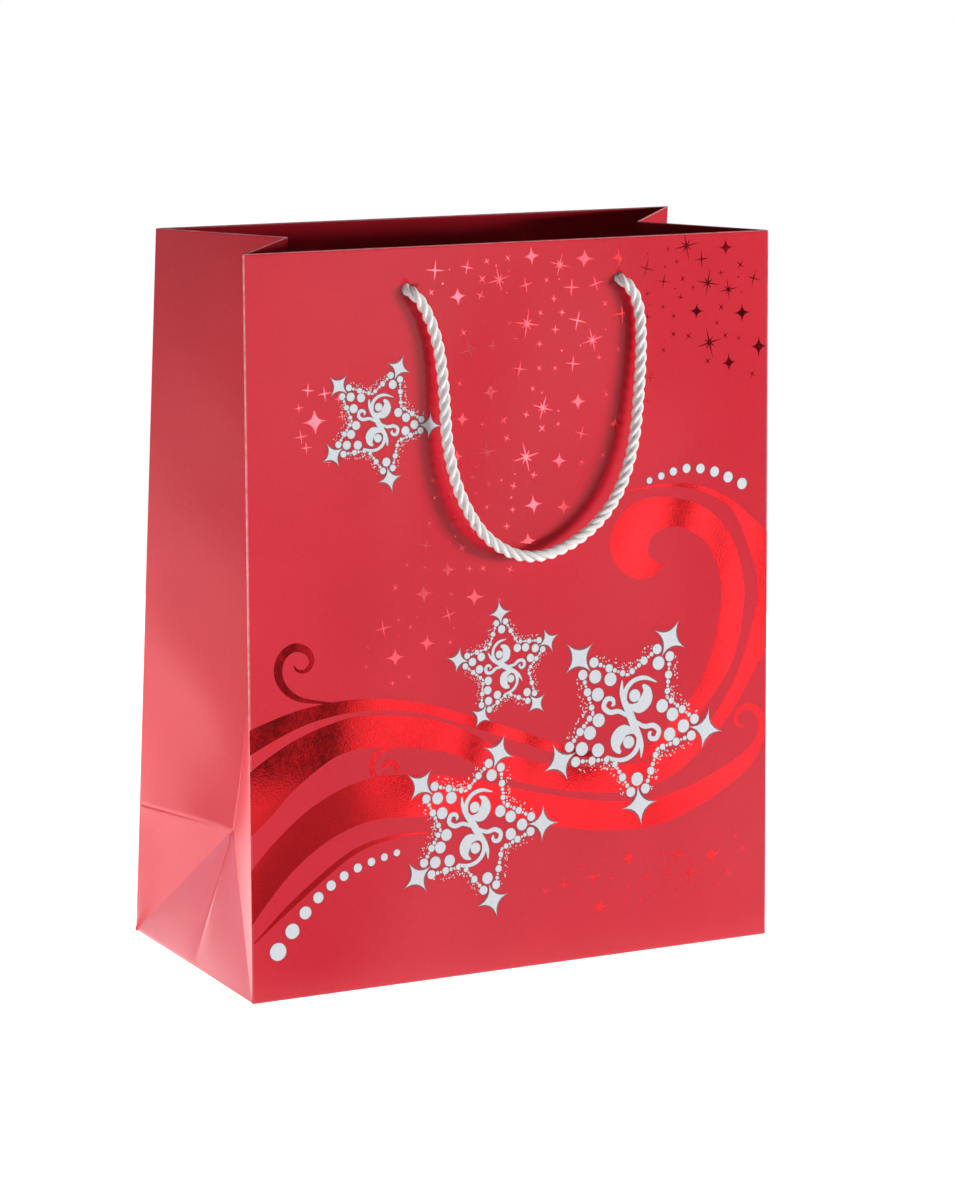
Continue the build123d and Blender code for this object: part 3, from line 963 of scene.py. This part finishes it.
def draw_star(white, outline, x, z, radius, first_tip, seed):
    """A white star of dots: a small star on each tip, large dots inside, graded dots along the edges
    and scrolls in the middle."""
    dice = random.Random(seed)
    rim = 0.28

    def place(u, v, heading):
        return (x + radius * (u * math.cos(heading) - v * math.sin(heading)),
                z + radius * (u * math.sin(heading) + v * math.cos(heading)))

    def ringed_dot(u, v, heading, size):
        spot = place(u, v, heading)
        outline.disc(*spot, size * radius + rim, 18)
        white.disc(*spot, size * radius, 18)

    taken = []
    for turn in (math.radians(first_tip - 49), math.radians(first_tip + 131)):
        for scroll in STAR_SCROLLS:
            stroke = [(*place(u, v, turn), width * radius) for u, v, width in scroll]
            outline.ribbon(stroke, widen=2 * rim)
            white.ribbon(stroke)
            taken += [tuple(row) for row in smooth_rows(stroke)]
        ringed_dot(0.075, 0.215, turn, 0.062)
    for arm in range(5):
        heading = math.radians(first_tip + 72 * arm)
        tip = place(0.86, 0, heading)
        outline.concave_star(*tip, 0.205 * radius + 2.4 * rim, heading, 3.5)
        white.concave_star(*tip, 0.205 * radius, heading, 3.9)
        for u, v in ((0.60, 0), (0.45, 0.098), (0.46, -0.098), (0.33, 0), (0.315, 0.165), (0.325, -0.165)):
            spot = place(u, v, heading)
            room = 0.08 * radius
            if all(math.hypot(spot[0] - a, spot[1] - b) > room + width / 2 for a, b, width in taken):
                ringed_dot(u, v, heading, 0.066)
        for hand in (-1, 1):
            along = 0.0
            for size in STAR_EDGE:
                along += size
                u = 0.345 + 0.90 * along
                v = hand * (0.258 - 0.43 * along)
                if size > 0.02:
                    ringed_dot(u, v, heading, size)
                else:
                    white.disc(*place(u, v, heading), size * radius, 10)
                for _ in range(3):
                    beyond = dice.uniform(0.04, 0.115)
                    white.disc(*place(u + dice.uniform(-0.03, 0.03), v + hand * beyond, heading),
                               dice.uniform(0.0045, 0.009) * radius, 8)
                along += size + 0.006


def draw_dot_rows(white, outline):
    """Two rows of dots that grow along their curves."""
    for row in (
        [(-117.5, 21.8, 3.9), (-99.2, 42.2, 2.5), (-80.4, 53.6, 2), (-54, 60.2, 1.4)],
        [(116.2, 207.6, 2.55), (101.1, 214.1, 2.3), (86, 216.3, 2), (66.5, 211.8, 1.4)],
    ):
        line = smooth_rows(row, 0.3)
        left = 0.0
        for one, after in zip(line, line[1:]):
            if left <= 0:
                outline.disc(one[0], one[1], one[2] + 0.25, 24)
                white.disc(*one, 24)
                left += 2.9 + 2 * one[2]
            left -= math.hypot(*(after - one)[:2])


def print_panel(side):
    """The same foil and ink on either panel."""
    foil_print = Print(side + "_foil_print", foil, "red_foil", 0.03 * mm)
    draw_swirls(foil_print)
    draw_sparkles(foil_print)
    outline = Print(side + "_outline_print", grey_ink, "white_print", 0.09 * mm)
    white = Print(side + "_white_print", white_ink, "white_print", 0.14 * mm)
    stars = ((-67, 246, 29, 66), (-5.5, 135.5, 27.8, 96), (58.6, 106.4, 46, 60), (-21, 65.6, 40, 69))
    for number, (x, z, radius, first_tip) in enumerate(stars):
        draw_star(white, outline, x, z, radius, first_tip, number)
    draw_dot_rows(white, outline)
    for layer in (foil_print, outline, white):
        layer.lay(side == "back")


# ---------------------------------------------------------------- camera, light and floor
def make_camera():
    yaw, pitch, roll = (math.radians(angle) for angle in (29.29, 12.37, 1.63))
    ahead = Vector((math.sin(yaw) * math.cos(pitch), math.cos(yaw) * math.cos(pitch), -math.sin(pitch)))
    level = Vector((math.cos(yaw), -math.sin(yaw), 0))
    upright = level.cross(ahead)
    right = level * math.cos(roll) + upright * math.sin(roll)
    up = right.cross(ahead)
    camera = bpy.data.objects.new("camera", bpy.data.cameras.new("camera"))
    camera.data.sensor_width = 36
    camera.data.lens = 130.4
    camera.data.clip_start = 0.05
    camera.matrix_world = Matrix((
        (right.x, up.x, -ahead.x, -0.9196),
        (right.y, up.y, -ahead.y, -1.6540),
        (right.z, up.z, -ahead.z, 0.5696),
        (0, 0, 0, 1),
    ))
    bpy.context.scene.collection.objects.link(camera)
    bpy.context.scene.camera = camera


def make_light(name, place, aim, size, power):
    light = bpy.data.lights.new(name, "AREA")
    light.shape = "RECTANGLE"
    light.size, light.size_y = size
    light.energy = power
    lamp = bpy.data.objects.new(name, light)
    lamp.location = place
    lamp.visible_glossy = False
    lamp.visible_camera = False
    lamp.rotation_mode = "QUATERNION"
    lamp.rotation_quaternion = (Vector(aim) - Vector(place)).to_track_quat("-Z", "Y")
    bpy.context.scene.collection.objects.link(lamp)


def make_world():
    """White to the camera. The bag mirrors strips of light in front of it and a panel on its left."""
    world = bpy.data.worlds.new("studio")
    bpy.context.scene.world = world
    world.use_nodes = True
    nodes, links = world.node_tree.nodes, world.node_tree.links
    background = nodes["Background"]
    path = nodes.new("ShaderNodeLightPath")
    place = nodes.new("ShaderNodeTexCoord")
    axes = nodes.new("ShaderNodeSeparateXYZ")
    links.new(place.outputs["Generated"], axes.inputs[0])
    minus_y = nodes.new("ShaderNodeMath")
    minus_y.operation = "MULTIPLY"
    minus_y.inputs[1].default_value = -1
    links.new(axes.outputs["Y"], minus_y.inputs[0])
    bearing = nodes.new("ShaderNodeMath")
    bearing.operation = "ARCTAN2"
    links.new(axes.outputs["X"], bearing.inputs[0])
    links.new(minus_y.outputs[0], bearing.inputs[1])

    first, last = 18, 42            # the strips' bearings, in degrees from -Y towards +X
    upper = [(18, 0.10), (24, 0.3), (26.0, 2.2), (27.2, 5.0), (28.8, 4.2), (29.9, 1.6), (30.6, 0.8),
             (31.2, 0.05), (38, 0.05), (42, 0.10)]
    lower = [(18, 1.1), (24.5, 1.1), (25.0, 0.14), (26.6, 0.14), (27.4, 1.1), (28.2, 1.5), (29.2, 1.2),
             (30.2, 0.9), (30.7, 0.25), (31, 0.3), (31.5, 1.1), (32.1, 2.0), (33.4, 1.8), (34.2, 0.2),
             (42, 0.10)]
    across = map_range(nodes, links, bearing.outputs[0], math.radians(first), math.radians(last))
    rows = [strip(nodes, links, across, first, last, stops) for stops in (lower, upper)]
    room = mix(nodes, links, map_range(nodes, links, axes.outputs["Z"], -0.075, -0.045), *rows)
    sky = ramp(nodes, links, axes.outputs["Z"], [(0.0, grey(1)), (0.16, grey(0.06))])
    dimmed = nodes.new("ShaderNodeMix")
    dimmed.data_type = "RGBA"
    dimmed.blend_type = "MULTIPLY"
    dimmed.inputs[0].default_value = 1
    links.new(room, dimmed.inputs[6])
    links.new(sky, dimmed.inputs[7])

    share = path.outputs["Is Glossy Ray"]
    for value, none, full in (
        (bearing.outputs[0], math.radians(-100), math.radians(-118)),
        (axes.outputs["Z"], 0.0, 0.04), (axes.outputs["Z"], 0.32, 0.20),
    ):
        share = multiply(nodes, links, share, map_range(nodes, links, value, none, full))
    panelled = mix(nodes, links, share, dimmed.outputs[2], (3.2, 3.2, 3.9))
    links.new(mix(nodes, links, path.outputs["Is Camera Ray"], panelled, grey(1)),
              background.inputs["Color"])
    background.inputs["Strength"].default_value = 1.0


def make_floor():
    """A pale floor that glows: evenly white to the camera and a faint light on the bag. What the foil and
    film mirror of it is striped, with a bright patch on the left.
    """
    bm = bmesh.new()
    bmesh.ops.create_circle(bm, cap_ends=True, segments=96, radius=0.72)
    floor = make_object("floor", mesh_from("floor", bm))
    material, nodes, links = new_material("pale_floor")
    shader = nodes["Principled BSDF"]
    shader.inputs["Base Color"].default_value = (0.86, 0.86, 0.86, 1)
    shader.inputs["Roughness"].default_value = 0.9
    shader.inputs["Specular IOR Level"].default_value = 0.1
    shader.inputs["Emission Color"].default_value = (1, 1, 1, 1)
    place = nodes.new("ShaderNodeTexCoord")
    axes = nodes.new("ShaderNodeSeparateXYZ")
    links.new(place.outputs["Object"], axes.inputs[0])
    stripe_turn = math.radians(28)
    sideways = nodes.new("ShaderNodeVectorMath")
    sideways.operation = "DOT_PRODUCT"
    sideways.inputs[1].default_value = (math.cos(stripe_turn), math.sin(stripe_turn), 0)
    links.new(place.outputs["Object"], sideways.inputs[0])
    reach = 0.20                    # the stripes run this far to either side
    stripes = [(-0.20, 0.8), (-0.165, 0.7), (-0.150, 0.10), (-0.112, 0.12), (-0.085, 1.0), (-0.045, 1.3),
               (0.0, 0.8), (0.03, 1.0), (0.06, 0.7), (0.095, 1.3), (0.12, 1.6), (0.15, 0.8), (0.2, 0.6)]
    across = map_range(nodes, links, sideways.outputs["Value"], -reach, reach)
    seen_in_front = strip(nodes, links, across, -reach, reach, stripes)
    behind = map_range(nodes, links, axes.outputs["Y"], -0.12, 0.02)
    beside = map_range(nodes, links, axes.outputs["X"], -0.132, -0.150)
    level_with = map_range(nodes, links, axes.outputs["Y"], -0.10, -0.06)
    patch = multiply(nodes, links, beside, level_with)
    mirrored = mix(nodes, links, behind, seen_in_front, grey(3.4))
    mirrored = mix(nodes, links, patch, mirrored, (4.6, 4.6, 5.3))
    path = nodes.new("ShaderNodeLightPath")
    bounced = mix(nodes, links, path.outputs["Is Camera Ray"], grey(0.20), grey(1.25))
    links.new(mix(nodes, links, path.outputs["Is Glossy Ray"], bounced, mirrored),
              shader.inputs["Emission Strength"])
    floor.data.materials.append(material)
    floor.location.z = -0.02 * mm


def make_studio():
    bpy.context.scene.view_settings.view_transform = "Standard"
    make_world()
    make_floor()
    middle = (0, 0, 0.14)
    make_light("key_light", (1.48, -1.43, 0.30), middle, (0.65, 0.35), 38)
    make_light("left_fill", (-1.9, -0.7, 0.24), middle, (1.0, 0.36), 1.2)
    make_light("low_left", (-0.32, -0.02, 0.12), (-0.12, 0.0, 0.12), (0.40, 0.12), 0.48)
    make_light("overhead", (0.3, -0.3, 2.0), middle, (1.0, 1.0), 5)
    make_light("back_fill", (0.7, 1.9, 0.30), middle, (0.8, 0.4), 16)


# ---------------------------------------------------------------- build
make_camera()
make_studio()
make_bag_sheet()
make_rope(front_face, front_route, "front_rope")
make_rope(back_face, back_route, "back_rope")
print_panel("front")
print_panel("back")

for node, material in (
    ("base_board", millboard), ("front_top_strip", millboard), ("back_top_strip", millboard),
    ("side_seam_lap", raw_card), ("front_bottom_flap", printed_card), ("back_bottom_flap", printed_card),
    ("left_bottom_flap", printed_card), ("right_bottom_flap", printed_card),
):
    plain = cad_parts[node]
    plain.data.materials.clear()
    plain.data.materials.append(material)
